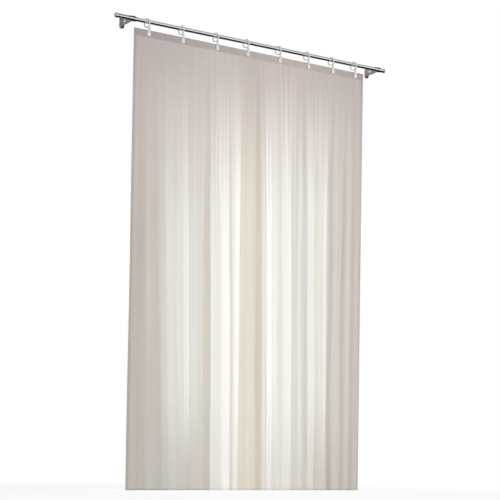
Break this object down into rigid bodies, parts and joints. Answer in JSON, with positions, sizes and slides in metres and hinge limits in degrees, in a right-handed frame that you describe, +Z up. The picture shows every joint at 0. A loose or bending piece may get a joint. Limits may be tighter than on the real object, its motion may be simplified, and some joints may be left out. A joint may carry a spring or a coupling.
{
  "type": "fly screen curtain",
  "caption": "Translucent full-height curtain hung by ring clips on a chrome rod in wall brackets; it draws to one side and swings on the rod.",
  "frame": {"origin": "centre of the left wall plate's back face, level with the rod's axis", "axes": "+X along the rod to the right as seen from the front, +Y into the wall, +Z up; the front faces -Y"},
  "size_m": [1.767, 0.1094, 2.278],
  "materials": {
    "chrome": "polished",
    "bracket_metal": "satin",
    "screw_steel": "satin",
    "voile": "matte",
    "heading_cloth": "matte",
    "ring_plastic": "gloss",
    "jaw_plastic": "gloss",
    "spring_steel": "satin"
  },
  "bodies": {
    "rail": {"rod": "chrome", "end_cap_left": "chrome", "end_cap_right": "chrome", "bush_outer_left": "chrome", "bush_inner_left": "chrome", "bush_outer_right": "chrome", "bush_inner_right": "chrome", "bracket_left": "bracket_metal", "bracket_right": "bracket_metal", "grub_screw_left": "screw_steel", "grub_screw_right": "screw_steel", "wall_screw_left_upper": "screw_steel", "wall_screw_left_lower": "screw_steel", "wall_screw_right_upper": "screw_steel", "wall_screw_right_lower": "screw_steel"},
    "curtain": {"curtain_panel": "voile", "heading_tape": "heading_cloth", "side_hem_left": "voile", "side_hem_right": "voile", "bottom_hem": "voile", "ring_1": "ring_plastic", "pivot_pin_1": "screw_steel", "clip_spring_1": "spring_steel"},
    "runner_2": {"ring_2": "ring_plastic", "pivot_pin_2": "screw_steel", "clip_spring_2": "spring_steel"},
    "runner_3": {"ring_3": "ring_plastic", "pivot_pin_3": "screw_steel", "clip_spring_3": "spring_steel"},
    "runner_4": {"ring_4": "ring_plastic", "pivot_pin_4": "screw_steel", "clip_spring_4": "spring_steel"},
    "runner_5": {"ring_5": "ring_plastic", "pivot_pin_5": "screw_steel", "clip_spring_5": "spring_steel"},
    "runner_6": {"ring_6": "ring_plastic", "pivot_pin_6": "screw_steel", "clip_spring_6": "spring_steel"},
    "runner_7": {"ring_7": "ring_plastic", "pivot_pin_7": "screw_steel", "clip_spring_7": "spring_steel"},
    "runner_8": {"ring_8": "ring_plastic", "pivot_pin_8": "screw_steel", "clip_spring_8": "spring_steel"},
    "clip_1": {"front_jaw_1": "jaw_plastic"},
    "clip_2": {"front_jaw_2": "jaw_plastic"},
    "clip_3": {"front_jaw_3": "jaw_plastic"},
    "clip_4": {"front_jaw_4": "jaw_plastic"},
    "clip_5": {"front_jaw_5": "jaw_plastic"},
    "clip_6": {"front_jaw_6": "jaw_plastic"},
    "clip_7": {"front_jaw_7": "jaw_plastic"},
    "clip_8": {"front_jaw_8": "jaw_plastic"}
  },
  "joints": [
    {"name": "curtain_swing", "type": "hinge", "parent": "rail", "child": "curtain", "pos_m": [0, -0.088, 0], "axis": [1, 0, 0], "range_deg": [-20, 20]},
    {"name": "draw", "type": "slide", "parent": "curtain", "child": "runner_8", "axis": [-1, 0, 0], "range_m": [0, 1.0848], "deforming": ["curtain_panel", "heading_tape", "side_hem_left", "side_hem_right", "bottom_hem"]},
    {"name": "runner_2_follow", "type": "slide", "parent": "curtain", "child": "runner_2", "axis": [-1, 0, 0], "range_m": [0, 0.1656]},
    {"name": "runner_3_follow", "type": "slide", "parent": "curtain", "child": "runner_3", "axis": [-1, 0, 0], "range_m": [0, 0.3372]},
    {"name": "runner_4_follow", "type": "slide", "parent": "curtain", "child": "runner_4", "axis": [-1, 0, 0], "range_m": [0, 0.4944]},
    {"name": "runner_5_follow", "type": "slide", "parent": "curtain", "child": "runner_5", "axis": [-1, 0, 0], "range_m": [0, 0.6648]},
    {"name": "runner_6_follow", "type": "slide", "parent": "curtain", "child": "runner_6", "axis": [-1, 0, 0], "range_m": [0, 0.8196]},
    {"name": "runner_7_follow", "type": "slide", "parent": "curtain", "child": "runner_7", "axis": [-1, 0, 0], "range_m": [0, 0.9564]},
    {"name": "clip_1_open", "type": "hinge", "parent": "curtain", "child": "clip_1", "pos_m": [0.093, -0.0984, -0.0385], "axis": [-1, 0, 0], "range_deg": [0, 25], "stiffness_Nm_per_rad": 0.05, "springref_deg": -34.38, "deforming": ["clip_spring_1"]},
    {"name": "clip_2_open", "type": "hinge", "parent": "runner_2", "child": "clip_2", "pos_m": [0.3, -0.0984, -0.0385], "axis": [-1, 0, 0], "range_deg": [0, 25], "stiffness_Nm_per_rad": 0.05, "springref_deg": -34.38, "deforming": ["clip_spring_2"]},
    {"name": "clip_3_open", "type": "hinge", "parent": "runner_3", "child": "clip_3", "pos_m": [0.5145, -0.0984, -0.0385], "axis": [-1, 0, 0], "range_deg": [0, 25], "stiffness_Nm_per_rad": 0.05, "springref_deg": -34.38, "deforming": ["clip_spring_3"]},
    {"name": "clip_4_open", "type": "hinge", "parent": "runner_4", "child": "clip_4", "pos_m": [0.711, -0.0984, -0.0385], "axis": [-1, 0, 0], "range_deg": [0, 25], "stiffness_Nm_per_rad": 0.05, "springref_deg": -34.38, "deforming": ["clip_spring_4"]},
    {"name": "clip_5_open", "type": "hinge", "parent": "runner_5", "child": "clip_5", "pos_m": [0.924, -0.0984, -0.0385], "axis": [-1, 0, 0], "range_deg": [0, 25], "stiffness_Nm_per_rad": 0.05, "springref_deg": -34.38, "deforming": ["clip_spring_5"]},
    {"name": "clip_6_open", "type": "hinge", "parent": "runner_6", "child": "clip_6", "pos_m": [1.1175, -0.0984, -0.0385], "axis": [-1, 0, 0], "range_deg": [0, 25], "stiffness_Nm_per_rad": 0.05, "springref_deg": -34.38, "deforming": ["clip_spring_6"]},
    {"name": "clip_7_open", "type": "hinge", "parent": "runner_7", "child": "clip_7", "pos_m": [1.2885, -0.0984, -0.0385], "axis": [-1, 0, 0], "range_deg": [0, 25], "stiffness_Nm_per_rad": 0.05, "springref_deg": -34.38, "deforming": ["clip_spring_7"]},
    {"name": "clip_8_open", "type": "hinge", "parent": "runner_8", "child": "clip_8", "pos_m": [1.449, -0.0984, -0.0385], "axis": [-1, 0, 0], "range_deg": [0, 25], "stiffness_Nm_per_rad": 0.05, "springref_deg": -34.38, "deforming": ["clip_spring_8"]}
  ],
  "couplings": [
    {"joint": "runner_2_follow", "follows": "draw", "ratio": 0.15266},
    {"joint": "runner_3_follow", "follows": "draw", "ratio": 0.31084},
    {"joint": "runner_4_follow", "follows": "draw", "ratio": 0.45575},
    {"joint": "runner_5_follow", "follows": "draw", "ratio": 0.61283},
    {"joint": "runner_6_follow", "follows": "draw", "ratio": 0.75553},
    {"joint": "runner_7_follow", "follows": "draw", "ratio": 0.88164}
  ]
}
